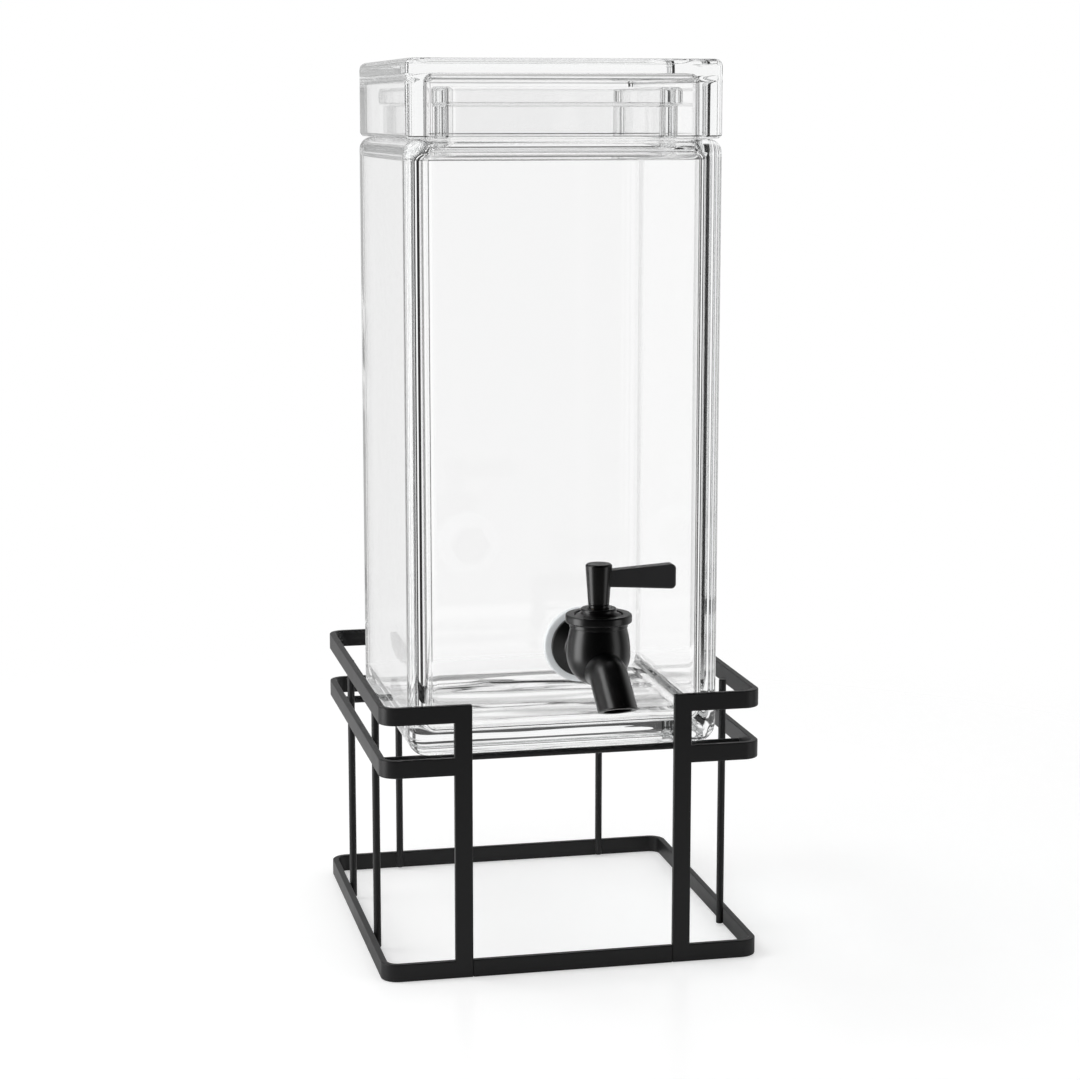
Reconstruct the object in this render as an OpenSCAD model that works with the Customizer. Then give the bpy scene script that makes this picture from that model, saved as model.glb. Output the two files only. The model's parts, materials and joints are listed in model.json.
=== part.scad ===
// Square glass drink dispenser with a lift-off glass lid and a quarter-turn tap,
// standing in an open black frame of bent flat bar and round rod.
// The origin is on the ground under the middle of the frame. The tap faces -Y.

/* [Stand] */
// Outer width and depth of the square frame
stand_w = 200; // [190:1:260]
// Height of the flat bar that the rails are bent from
bar_w = 9.2; // [6:0.1:12]
// Thickness of the flat bar
bar_t = 3.4; // [2:0.1:5]
// Outer radius of the bent rail corners
rail_r = 9; // [6:0.5:20]
// Height of the shelf rail's underside above the ground
shelf_z = 107.2; // [70:0.1:160]
// Free height between the shelf rail and the upper rail
rail_gap = 18.1; // [10:0.1:40]
// Distance between the middles of the two front posts
post_pitch = 115.2; // [90:0.1:150]
// Diameter of the round uprights and cross rods
rod_d = 4; // [3:0.1:6]
// Distance of each side upright from the middle of its side
side_rod_y = 45; // [20:1:55]
// Distance of each back upright from the middle of the back
back_rod_x = 60; // [20:1:80]
// Distance of each cross rod behind the jar's front or back face
cross_rod_in = 12; // [10:0.5:30]
// How far the uprights stop short of the ground
rod_short = 1; // [0.5:0.1:3]
// Height over which the uprights lie against the upper rail
rod_grip = 3.2; // [1.5:0.1:5]

/* [Jar] */
// Outer width and depth of the square jar
jar_w = 164; // [140:1:172]
// Height of the jar from its underside to its shoulder
jar_h = 314.2; // [200:0.1:400]
// Thickness of the jar's walls
jar_wall = 7.5; // [5:0.1:10]
// Thickness of the jar's base
jar_base = 12; // [6:0.1:20]
// Thickness of the glass at the shoulder
shoulder_t = 4.8; // [3:0.1:14]
// Outer radius of the jar's upright corners
jar_corner_r = 9; // [8:0.1:16]
// Radius of the edge round the jar's underside
jar_foot_r = 8.8; // [4:0.1:14]
// Radius of the edge round the jar's shoulder
shoulder_r = 7; // [2:0.1:9]
// Radius of the corners and edges inside the jar
jar_inner_r = 8; // [4:0.1:14]

/* [Neck] */
// Distance of the neck's face behind the jar's face
neck_inset = 19; // [14:0.1:24]
// Height of the neck from the shoulder to the top of its rim
neck_h = 26; // [16:0.1:40]
// Thickness of the neck's walls
neck_wall = 7; // [5:0.1:10]
// Outer radius of the neck's upright corners
neck_corner_r = 9; // [7.5:0.1:14]
// Height of the rim bead
rim_h = 9; // [5:0.1:12]
// How far the rim bead stands out from the neck
rim_out = 2.5; // [0.5:0.1:4]
// Radius of the edges of the rim bead
rim_r = 2; // [0.5:0.1:2.4]

/* [Lid] */
// Distance of the lid's face behind the jar's face
lid_inset = 1; // [0:0.1:3]
// Room between the rim bead and the inside of the lid
lid_room = 5.5; // [1:0.1:8]
// Free height between the rim and the lid's ceiling
lid_head = 6.7; // [1:0.1:10]
// Thickness of the lid's top
lid_top = 7.2; // [4:0.1:14]
// Outer radius of the lid's upright corners
lid_corner_r = 4; // [3:0.1:12]
// Radius of the edge round the lid's top
lid_edge_r = 3.8; // [0.5:0.1:3.9]
// Radius of the edge round the lid's underside
lid_foot_r = 2.4; // [0.5:0.1:2.8]
// Radius of the corners and edges inside the lid
lid_inner_r = 5; // [2:0.1:12]

/* [Tap body] */
// Sideways distance of the tap from the middle of the jar
tap_x = 7; // [-12:0.5:12]
// Height of the tap's inlet above the jar's underside
tap_up = 57.6; // [45:0.1:120]
// Distance of the tap's upright axis from the jar's front
tap_reach = 40; // [36:0.1:60]
// Diameter of the flange against the outer washer
flange_d = 32; // [26:0.1:37]
// Thickness of the flange at its rim
flange_t = 2.4; // [1:0.1:4]
// Length of the cone between the flange and the throat
cone_len = 12; // [5:0.1:16]
// Diameter of the throat between the cone and the belly
throat_d = 19; // [17:0.1:24]
// Outer diameter of the threaded shank
shank_d = 15.8; // [12:0.1:17]
// Diameter of the hole through the jar's wall
jar_hole_d = 18; // [17.2:0.1:22]
// Length of shank that stands out behind the nut
shank_tail = 4; // [1:0.1:10]
// Diameter of the waterway in the shank and plug
bore_d = 8.6; // [5:0.1:9]
// Greatest diameter of the belly
belly_d = 32; // [28:0.1:38]
// Height of the belly's widest line above the inlet
belly_up = 3; // [0:0.1:5]
// Height of the belly above its widest line
belly_h = 14; // [10:0.1:18]
// Diameter of the belly at its top
belly_top_d = 28.2; // [26:0.1:31]
// Diameter of the seat ring under the bonnet
seat_d = 29.2; // [26:0.1:34]
// Height of the seat ring
seat_h = 2.3; // [1:0.1:4]

/* [Spout] */
// Outer diameter of the spout at the tap's upright axis
spout_d = 17; // [15.5:0.1:19]
// Outer diameter of the spout at its mouth
mouth_d = 18.6; // [17:0.1:22]
// Diameter of the spout's bore
spout_bore_d = 14; // [8:0.1:14.4]
// Lean of the spout from upright, in degrees
spout_lean = 58; // [45:1:62]
// Length of the spout from the tap's upright axis
spout_len = 48; // [40:0.5:56]
// Height above the inlet where the spout meets the upright axis
spout_up = 8; // [4:0.1:10]
// Lean of the mouth's face from level, in degrees
mouth_tilt = 20; // [10:1:45]

/* [Tap top] */
// Diameter of the bonnet's flange
bonnet_d = 33.4; // [29:0.1:40]
// Height of the bonnet's flange
bonnet_h = 4.4; // [3.5:0.1:7]
// Radius of the edges of the bonnet's flange
bonnet_r = 1; // [0.3:0.1:1.7]
// Diameter of the recess in the bonnet's top
recess_d = 24.4; // [20:0.1:28]
// Depth of the recess in the bonnet's top
recess_h = 1.5; // [0.5:0.1:2.5]
// Diameter of the screwed plug under the bonnet
spigot_d = 21.8; // [18.4:0.1:23]
// Height of the screwed plug under the bonnet
spigot_h = 6; // [4:0.1:7]
// Diameter of the gland collar round the stem
gland_d = 18.2; // [12:0.1:19]
// Height of the gland collar
gland_h = 4.4; // [2:0.1:7]
// Width of the bevel round the gland collar's top
gland_bevel = 0.5; // [0.2:0.1:1.5]
// Height of the flare round the gland collar's foot
gland_flare = 2.2; // [0.5:0.1:3]
// Gap round the gland collar's foot in the bonnet's recess
gland_room = 0.5; // [0.2:0.1:1.5]

/* [Valve] */
// Diameter of the turning plug
plug_d = 16.8; // [14:0.1:17.6]
// Depth of the plug below the inlet
plug_drop = 6.4; // [5.2:0.1:8]
// Diameter of the stem
stem_d = 9; // [6:0.1:9.1]
// Diameter of the stem's upper end, inside the hub
stem_end_d = 6; // [4:0.1:7]
// Length of the stem's upper end
stem_end_h = 9; // [8:0.1:10.5]
// Thickness of the sealing rings
ring_d = 1.8; // [1:0.1:2.2]
// Height of the lower sealing ring above the inlet
ring_up = 6.6; // [6.2:0.1:7]
// Distance between the two sealing rings
ring_pitch = 3.4; // [2.8:0.1:3.8]

/* [Handle] */
// Diameter of the hub at its foot
hub_low_d = 10.6; // [9.6:0.1:14]
// Diameter of the hub at its top
hub_top_d = 13.4; // [12:0.1:18]
// Height of the hub
hub_h = 22; // [20:0.1:30]
// Diameter of the step under the hub
hub_step_d = 9.4; // [8:0.1:9.6]
// Height of the step under the hub
hub_step_h = 1.5; // [0.5:0.1:2.5]
// Width of the bevel round the hub's top
hub_bevel = 0.8; // [0.2:0.1:1.5]
// Reach of the lever from the tap's upright axis
lever_len = 39; // [30:0.5:41]
// Height of the lever's middle above the hub's foot
lever_up = 14.6; // [13.4:0.1:15]
// Height of the lever where it leaves the hub
lever_root_h = 8.6; // [6:0.1:10]
// Height of the lever at its end
lever_end_h = 12.8; // [8:0.1:14]
// Thickness of the lever
lever_t = 7.4; // [6:0.1:9]
// Radius of the corners at the lever's end
lever_end_r = 2.4; // [0.5:0.1:3.5]
// Diameter of the stud that holds the lever in the hub
stud_d = 5; // [3:0.1:6]
// Length of the stud inside the hub
stud_len = 2.6; // [1.5:0.1:3.2]
// Diameter of the set screw in the hub
screw_d = 3; // [2:0.1:3.6]
// Height of the set screw above the hub's foot
screw_up = 5; // [4:0.1:6]

/* [Washers and nut] */
// Diameter of the clear washer outside the jar
washer_d = 39; // [33:0.1:46]
// Diameter of the washer inside the jar
inner_washer_d = 30; // [26:0.1:40]
// Thickness of both washers
washer_t = 3; // [1.5:0.1:5]
// Width of the nut across its flats
nut_w = 22; // [19:0.1:28]
// Thickness of the nut
nut_t = 5; // [3:0.1:10]

/* [Clearances] */
// Gap at the welds between rods and rails
weld_gap = 0.05; // [0.02:0.01:0.2]
// Gap between pieces that only rest on each other
seat_gap = 0.2; // [0.1:0.05:0.4]
// Gap round the pieces that turn or screw in a bore
run_gap = 0.08; // [0.04:0.01:0.1]
// Gap between the turning hub and the gland collar
hub_gap = 0.3; // [0.2:0.05:0.6]

/* [Hidden] */
$fn = 96;

steel = [0.06, 0.06, 0.065];
tap_black = [0.05, 0.05, 0.055];
brass = [0.72, 0.6, 0.34];
glass = [0.85, 0.92, 0.92, 0.35];
silicone = [0.82, 0.84, 0.85, 0.8];
rubber = [0.12, 0.12, 0.12];

// Overrun that keeps the tool of a cut clear of the surface it starts from
over = 1;

// Levels and middles of the stand
upper_z = shelf_z + bar_w + rail_gap;
stand_h = upper_z + bar_w;
post_x = post_pitch / 2;
rail_in = stand_w / 2 - bar_t;
rod_line = rail_in - weld_gap - rod_d / 2;
cross_rod_y = jar_w / 2 - cross_rod_in;

// Levels and widths of the jar and lid
jar_z = shelf_z + rod_d + seat_gap;
shoulder_z = jar_z + jar_h;
rim_z = shoulder_z + neck_h;
neck_w = jar_w - 2 * neck_inset;
rim_w = neck_w + 2 * rim_out;
mouth_w = neck_w - 2 * neck_wall;
mouth_r = neck_corner_r - neck_wall;
cavity_w = jar_w - 2 * jar_wall;
cavity_z = jar_z + jar_base;
lid_z = shoulder_z + seat_gap;
lid_w = jar_w - 2 * lid_inset;
lid_in_w = rim_w + 2 * lid_room;
ceiling_z = rim_z + lid_head;
lid_h = ceiling_z + lid_top - lid_z;

// Places of the tap
jar_front = -jar_w / 2;
tap_y = jar_front - tap_reach;
inlet_z = jar_z + tap_up;
flange_y = jar_front - washer_t;
nut_y = jar_front + jar_wall + washer_t;
shank_end_y = nut_y + nut_t + shank_tail;
belly_r = belly_d / 2;
seat_z = belly_up + belly_h;
bonnet_z = seat_z + seat_h;
bonnet_top = bonnet_z + bonnet_h;
gland_z = bonnet_top - recess_h;
hub_z = gland_z + gland_h + hub_gap;
spigot_z = bonnet_z - spigot_h;
chamber_r = plug_d / 2 + run_gap;
ring_r = chamber_r - run_gap / 4 - ring_d / 2;
groove_r = ring_r - ring_d / 2 - run_gap / 4;
groove_h = ring_d + 2 * run_gap;

// The lever's root face stands just inside the narrowest part of the hub
lever_face = hub_low_d / 2 - run_gap;

// Removes the outer corner at the origin of a profile, leaving a round edge of radius r
module edge_cut(r) {
    translate([-r, -r]) difference() {
        square(r + over);
        circle(r);
    }
}

// Upright profile from the corner axis out to reach r, with round lower and upper edges
module wall_profile(r, z_low, z_high, low_r, high_r) {
    difference() {
        translate([0, z_low]) square([r, z_high - z_low]);
        if (low_r > 0) translate([r, z_low]) mirror([0, 1]) edge_cut(min(low_r, r));
        if (high_r > 0) translate([r, z_high]) edge_cut(min(high_r, r));
    }
}

// Square block of width w with corner radius r, swept from the profile given as child
module swept_square(w, r, z_low, z_high) {
    c = w / 2 - r;
    translate([-c, -c, z_low]) cube([2 * c, 2 * c, z_high - z_low]);
    for (turn = [0:90:270]) rotate(turn) translate([c, c, 0]) {
        rotate_extrude(angle = 90) children();
        rotate([90, 0, 0]) linear_extrude(2 * c) children();
    }
}

module round_square(w, r, z_low, z_high, low_r = 0, high_r = 0) {
    swept_square(w, r, z_low, z_high) wall_profile(r, z_low, z_high, low_r, high_r);
}

// Cylinder between two distances along Y, on the line of the tap's inlet
module inlet_cylinder(d, y_near, y_far) {
    translate([tap_x, y_far, inlet_z]) rotate([90, 0, 0]) cylinder(d = d, h = y_far - y_near);
}

module at_tap() {
    translate([tap_x, tap_y, inlet_z]) children();
}

// Stand

module rail_bend() {
    rotate_extrude(angle = 90) translate([rail_r - bar_t, 0]) square([bar_t, bar_w]);
}

// Bent rail, open at the front between the two posts
module open_rail(z) {
    side = stand_w - 2 * rail_r;
    bend = side / 2;
    stub = bend - post_x - bar_w / 2;
    color(steel) translate([0, 0, z]) {
        translate([-bend, rail_in, 0]) cube([side, bar_t, bar_w]);
        for (flip = [0, 1]) mirror([flip, 0, 0]) {
            translate([rail_in, -bend, 0]) cube([bar_t, side, bar_w]);
            translate([bend, bend, 0]) rail_bend();
            translate([bend, -bend, 0]) rotate(-90) rail_bend();
            translate([bend - stub, -stand_w / 2, 0]) cube([stub, bar_t, bar_w]);
        }
    }
}

module upper_rail() open_rail(upper_z);

module shelf_rail() open_rail(shelf_z);

module base_rail() open_rail(0);

module base_front_bar() {
    span = post_pitch - bar_w;
    color(steel) translate([-span / 2, -stand_w / 2, 0]) cube([span, bar_t, bar_w]);
}

module front_post(x) {
    color(steel) translate([x - bar_w / 2, -stand_w / 2, 0]) cube([bar_w, bar_t, stand_h]);
}

module front_post_left() front_post(-post_x);

module front_post_right() front_post(post_x);

module upright_rod(x, y) {
    color(steel) translate([x, y, rod_short]) cylinder(d = rod_d, h = upper_z + rod_grip - rod_short);
}

module left_rod_front() upright_rod(-rod_line, -side_rod_y);

module left_rod_rear() upright_rod(-rod_line, side_rod_y);

module right_rod_front() upright_rod(rod_line, -side_rod_y);

module right_rod_rear() upright_rod(rod_line, side_rod_y);

module back_rod_left() upright_rod(-back_rod_x, rod_line);

module back_rod_right() upright_rod(back_rod_x, rod_line);

module cross_rod(y) {
    span = 2 * (rail_in - weld_gap);
    color(steel) translate([-span / 2, y, shelf_z + rod_d / 2]) rotate([0, 90, 0])
        cylinder(d = rod_d, h = span);
}

module cross_rod_front() cross_rod(-cross_rod_y);

module cross_rod_rear() cross_rod(cross_rod_y);

// Glass

module neck_profile() {
    wall_profile(neck_corner_r, shoulder_z - over, rim_z - rim_h / 2, 0, 0);
    wall_profile(neck_corner_r + rim_out, rim_z - rim_h, rim_z, rim_r, rim_r);
}

module glass_jar() {
    color(glass) difference() {
        union() {
            round_square(jar_w, jar_corner_r, jar_z, shoulder_z, jar_foot_r, shoulder_r);
            swept_square(neck_w, neck_corner_r, shoulder_z - over, rim_z) neck_profile();
        }
        round_square(cavity_w, jar_inner_r, cavity_z, shoulder_z - shoulder_t, jar_inner_r, jar_inner_r);
        round_square(mouth_w, mouth_r, shoulder_z - shoulder_t - over, rim_z + over);
        inlet_cylinder(jar_hole_d, jar_front - over, jar_front + jar_wall + over);
    }
}

module glass_lid() {
    color(glass) difference() {
        round_square(lid_w, lid_corner_r, lid_z, lid_z + lid_h, lid_foot_r, lid_edge_r);
        round_square(lid_in_w, lid_inner_r, lid_z - over, ceiling_z, 0, lid_inner_r);
    }
}

// Tap, outside and inside the jar's wall

module washer(d, y) {
    color(silicone) difference() {
        inlet_cylinder(d, y, y + washer_t);
        inlet_cylinder(shank_d + 2 * run_gap, y - over, y + washer_t + over);
    }
}

module outer_washer() washer(washer_d, flange_y);

module inner_washer() washer(inner_washer_d, jar_front + jar_wall);

module lock_nut() {
    color(tap_black) difference() {
        translate([tap_x, nut_y + nut_t, inlet_z]) rotate([90, 0, 0])
            cylinder(d = nut_w / cos(30), h = nut_t, $fn = 6);
        inlet_cylinder(shank_d + 2 * run_gap, nut_y - over, nut_y + nut_t + over);
    }
}

module belly_profile() {
    slope = belly_r - belly_top_d / 2;
    flank_r = (belly_h * belly_h + slope * slope) / (2 * slope);
    translate([0, belly_up]) {
        intersection() {
            circle(belly_r);
            translate([0, -belly_r]) square(belly_r);
        }
        intersection() {
            translate([belly_r - flank_r, 0]) circle(flank_r, $fn = 4 * $fn);
            square([belly_r, belly_h]);
        }
    }
    translate([0, seat_z]) square([seat_d / 2, seat_h]);
}

// Flange, cone, throat and shank, turned round the inlet from the belly to the shank's end
module tail_profile() {
    face = flange_y - tap_y;
    tail = shank_end_y - tap_y;
    polygon([
        [0, 0], [throat_d / 2, 0], [throat_d / 2, face - flange_t - cone_len],
        [flange_d / 2, face - flange_t], [flange_d / 2, face],
        [shank_d / 2, face], [shank_d / 2, tail], [0, tail]
    ]);
}

// Leans its child from upright to the line of the spout
module on_spout() {
    translate([0, 0, spout_up]) rotate([-spout_lean, 0, 0]) mirror([0, 0, 1]) children();
}

// Flaring spout, drawn longer by its own width and cut off at the tilt of its mouth
module spout_tube() {
    spare = mouth_d;
    cut = 3 * spare;
    flare = (mouth_d - spout_d) * spare / spout_len;
    on_spout() difference() {
        cylinder(d1 = spout_d, d2 = mouth_d + flare, h = spout_len + spare);
        translate([0, 0, spout_len]) rotate([mouth_tilt - spout_lean, 0, 0])
            translate([-cut / 2, -cut / 2, 0]) cube(cut);
    }
}

module tap_body() {
    color(tap_black) at_tap() difference() {
        union() {
            rotate_extrude() belly_profile();
            rotate([-90, 0, 0]) rotate_extrude() tail_profile();
            spout_tube();
        }
        translate([0, 0, -plug_drop - run_gap]) cylinder(r = chamber_r, h = plug_drop + bonnet_z);
        translate([0, 0, spigot_z - run_gap]) cylinder(d = spigot_d + 2 * run_gap, h = spigot_h + seat_h);
        rotate([-90, 0, 0]) cylinder(d = bore_d, h = shank_end_y - tap_y + over);
        on_spout() translate([0, 0, chamber_r]) cylinder(d = spout_bore_d, h = spout_len + mouth_d);
    }
}

module bonnet() {
    color(tap_black) at_tap() difference() {
        union() {
            translate([0, 0, spigot_z]) cylinder(d = spigot_d, h = spigot_h + over);
            rotate_extrude() wall_profile(bonnet_d / 2, bonnet_z, bonnet_top, bonnet_r, bonnet_r);
        }
        translate([0, 0, gland_z]) cylinder(d = recess_d, h = bonnet_h);
        translate([0, 0, spigot_z - over])
            cylinder(d = stem_d + 2 * run_gap, h = spigot_h + bonnet_h + 2 * over);
    }
}

module gland_collar() {
    color(tap_black) at_tap() translate([0, 0, gland_z]) difference() {
        union() {
            cylinder(d1 = recess_d - 2 * gland_room, d2 = gland_d, h = gland_flare);
            cylinder(d = gland_d, h = gland_h - gland_bevel);
            translate([0, 0, gland_h - gland_bevel])
                cylinder(d1 = gland_d, d2 = gland_d - 2 * gland_bevel, h = gland_bevel);
        }
        translate([0, 0, -over]) cylinder(d = stem_d + 2 * run_gap, h = gland_h + 2 * over);
    }
}

// Turning parts, drawn with the tap shut: the port lies across the flow

module valve_plug() {
    plug_top = spigot_z - run_gap;
    stem_end_z = hub_z + stem_end_h;
    color(brass) at_tap() difference() {
        union() {
            translate([0, 0, -plug_drop]) cylinder(d = plug_d, h = plug_top + plug_drop);
            translate([0, 0, plug_top - over]) cylinder(d = stem_d, h = hub_z - run_gap - plug_top + over);
            translate([0, 0, hub_z - over]) cylinder(d = stem_end_d, h = stem_end_z - hub_z + over);
        }
        translate([-plug_d, 0, 0]) rotate([0, 90, 0]) cylinder(d = bore_d, h = 2 * plug_d);
        for (z = [ring_up, ring_up + ring_pitch]) translate([0, 0, z - groove_h / 2]) difference() {
            cylinder(d = plug_d + 2 * over, h = groove_h);
            translate([0, 0, -over]) cylinder(r = groove_r, h = groove_h + 2 * over);
        }
    }
}

module plug_rings() {
    color(rubber) at_tap() for (z = [ring_up, ring_up + ring_pitch])
        translate([0, 0, z]) rotate_extrude() translate([ring_r, 0]) circle(d = ring_d);
}

module hub_profile() {
    polygon([
        [0, 0], [hub_step_d / 2, 0], [hub_step_d / 2, hub_step_h], [hub_low_d / 2, hub_step_h],
        [hub_top_d / 2, hub_h - hub_bevel], [hub_top_d / 2 - hub_bevel, hub_h], [0, hub_h]
    ]);
}

module handle_hub() {
    color(tap_black) at_tap() translate([0, 0, hub_z]) difference() {
        rotate_extrude() hub_profile();
        translate([0, 0, -over]) cylinder(d = stem_end_d + 2 * run_gap, h = stem_end_h + run_gap + over);
        translate([0, 0, screw_up]) rotate([-90, 0, 0]) cylinder(d = screw_d + 2 * run_gap, h = hub_top_d);
        translate([lever_face - run_gap, -lever_t / 2 - run_gap, lever_up - lever_root_h / 2 - run_gap])
            cube([hub_top_d, lever_t + 2 * run_gap, lever_root_h + 2 * run_gap]);
        translate([lever_face - stud_len - run_gap, 0, lever_up]) rotate([0, 90, 0])
            cylinder(d = stud_d + 2 * run_gap, h = hub_top_d);
    }
}

// Outline of the lever from the side, with round corners at its free end
module lever_outline() {
    tip = lever_len - lever_end_r;
    high = lever_end_h / 2 - lever_end_r;
    low = lever_root_h / 2;
    polygon([
        [lever_face, -low], [hub_top_d / 2, -low], [tip, -lever_end_h / 2],
        [tip, lever_end_h / 2], [hub_top_d / 2, low], [lever_face, low]
    ]);
    translate([tip, -high]) square([lever_end_r, 2 * high]);
    for (side = [-1, 1]) translate([tip, side * high]) intersection() {
        circle(lever_end_r);
        translate([0, -lever_end_r * (1 - side) / 2]) square(lever_end_r);
    }
}

module lever() {
    color(tap_black) at_tap() translate([0, 0, hub_z + lever_up]) {
        translate([0, lever_t / 2, 0]) rotate([90, 0, 0]) linear_extrude(lever_t) lever_outline();
        translate([lever_face - stud_len, 0, 0]) rotate([0, 90, 0])
            cylinder(d = stud_d, h = stud_len + over);
    }
}

module hub_set_screw() {
    seat = stem_end_d / 2 + run_gap;
    color(steel) at_tap() translate([0, seat, hub_z + screw_up]) rotate([-90, 0, 0])
        cylinder(d = screw_d, h = hub_low_d / 2 - seat);
}

upper_rail();
shelf_rail();
base_rail();
base_front_bar();
front_post_left();
front_post_right();
left_rod_front();
left_rod_rear();
right_rod_front();
right_rod_rear();
back_rod_left();
back_rod_right();
cross_rod_front();
cross_rod_rear();
glass_jar();
glass_lid();
outer_washer();
inner_washer();
lock_nut();
tap_body();
bonnet();
gland_collar();
valve_plug();
plug_rings();
handle_hub();
lever();
hub_set_screw();
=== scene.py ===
"""Looks of a square glass drink dispenser that stands in a black frame of flat bar and rod."""

import json
import math

import bmesh
import bpy
from bpy.props import FloatProperty, FloatVectorProperty, PointerProperty
from mathutils import Matrix, Vector


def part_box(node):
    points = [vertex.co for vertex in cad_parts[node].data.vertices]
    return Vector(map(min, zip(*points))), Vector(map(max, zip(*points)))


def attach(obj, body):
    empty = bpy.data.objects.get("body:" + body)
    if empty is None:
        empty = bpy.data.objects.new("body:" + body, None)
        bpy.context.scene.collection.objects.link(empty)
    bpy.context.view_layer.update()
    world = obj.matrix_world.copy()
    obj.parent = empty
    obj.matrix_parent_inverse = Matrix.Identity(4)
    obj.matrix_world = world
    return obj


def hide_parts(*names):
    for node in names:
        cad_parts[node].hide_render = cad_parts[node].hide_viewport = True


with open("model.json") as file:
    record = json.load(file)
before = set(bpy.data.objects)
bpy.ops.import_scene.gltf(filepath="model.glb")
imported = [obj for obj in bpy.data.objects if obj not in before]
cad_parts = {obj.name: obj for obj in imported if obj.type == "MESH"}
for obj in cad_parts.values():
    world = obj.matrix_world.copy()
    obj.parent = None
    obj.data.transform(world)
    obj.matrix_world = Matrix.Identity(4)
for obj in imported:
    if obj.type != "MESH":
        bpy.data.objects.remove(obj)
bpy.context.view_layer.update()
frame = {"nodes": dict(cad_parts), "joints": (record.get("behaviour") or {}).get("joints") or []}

bl_info = {
    "name": "Glass Drink Dispenser",
    "version": (1, 0, 0),
    "blender": (4, 5, 0),
    "location": "3D View > Sidebar > Dispenser",
    "description": "Builds a square glass drink dispenser with a lever tap and a black metal frame",
    "category": "Add Mesh",
}

JAR_LOW, JAR_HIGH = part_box("glass_jar")
LID_LOW, LID_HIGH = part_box("glass_lid")
TAP_TURN = next(joint for joint in frame["joints"] if joint["name"] == "tap_turn")
TAP_AXIS = Vector(TAP_TURN["pos_m"])
ALONG_INLET = Matrix.Rotation(math.radians(-90), 4, "X")
ALONG_X = Matrix.Rotation(math.radians(90), 4, "Y")

# How finely edges, bends and round shapes are drawn
EDGE_STEPS, ARC_STEPS, BEND_STEPS, CORNER_STEPS = 4, 10, 14, 16
ROD_STEPS, ROUND_STEPS, FINE_STEPS = 32, 72, 96
SHARP_ANGLE = math.radians(38)
NO_RADIUS = 1e-7

# Radii of the small edges of turned pieces, and the room between the thread and what sits on it
CRISP_EDGE, FINE_EDGE, SOFT_EDGE = 0.0002, 0.0003, 0.0005
RUN_GAP = 0.0001

# Dark flags that glass shows: bearing from straight behind and half width in degrees, and strength
FLAGS = (
    (-163, 12, 0.72), (-121, 8.5, 0.97), (-65.5, 12, 0.97), (-28.5, 11.5, 0.97),
    (35.5, 5, 0.97), (65.5, 12, 0.97), (105, 9, 0.97), (163, 12, 0.72),
)
# Share of a flag's and a band's half width that is fully dark
FLAG_CORE, BAND_CORE = 0.85, 0.4
# Dark bands that glass shows overhead, and where the floor hides the flags, by the Z of a ray's direction
CEILING_BANDS = ((0.12, 0.34), (0.66, 0.86))
FLOOR_BELOW = (-0.45, -0.32)
# Where what metal mirrors goes from the dark front to the bright back, and from bright sides to dark overhead
FRONT_TO_BACK = (-0.25, 0.35)
SIDES_TO_OVERHEAD = (0.35, 0.7)
# Soft boxes: name, place, width and height in metres, and the setting that holds the brightness
SOFT_BOXES = (
    ("soft_box_left", (-1.24, -0.06, 0.1), (0.68, 1.3), "key_light"),
    ("soft_box_right", (1.06, -0.80, 0.1), (0.55, 1.3), "fill_light"),
    ("soft_box_top", (-1.06, 0.38, 1.46), (0.6, 0.6), "top_light"),
)
LIGHT_AIM = Vector((0, 0, 0.22))
# Radius of the floor, how far it lies under the frame, and where it fades into the studio
FLOOR_REACH, FLOOR_SINK, FLOOR_FADE = 0.8, 0.0002, (0.35, 0.75)
FLOOR_MIRROR_ROUGHNESS = 0.22
# Scale of the slight patches on coated surfaces
PATCH_SCALE = 90.0
# Light passes many faces of thick glass
ALL_BOUNCES, MIRROR_BOUNCES, GLASS_BOUNCES = 48, 32, 48


def number_prop(name, description, default):
    """A plain number."""
    return FloatProperty(name=name, description=description, default=default)


def share_prop(name, description, default, high=1.0):
    """A plain number from 0 to its highest value."""
    return FloatProperty(name=name, description=description, default=default, min=0, max=high)


def length_prop(name, description, default):
    """A length in metres."""
    return FloatProperty(
        name=name, description=description, default=default, min=0, unit="LENGTH", precision=5
    )


def angle_prop(name, description, degrees):
    """An angle that is written in degrees."""
    return FloatProperty(name=name, description=description, default=math.radians(degrees), subtype="ANGLE")


def colour_prop(name, description, default):
    """A colour in linear light."""
    return FloatVectorProperty(
        name=name, description=description, default=default, min=0, max=1, subtype="COLOR"
    )


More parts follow.
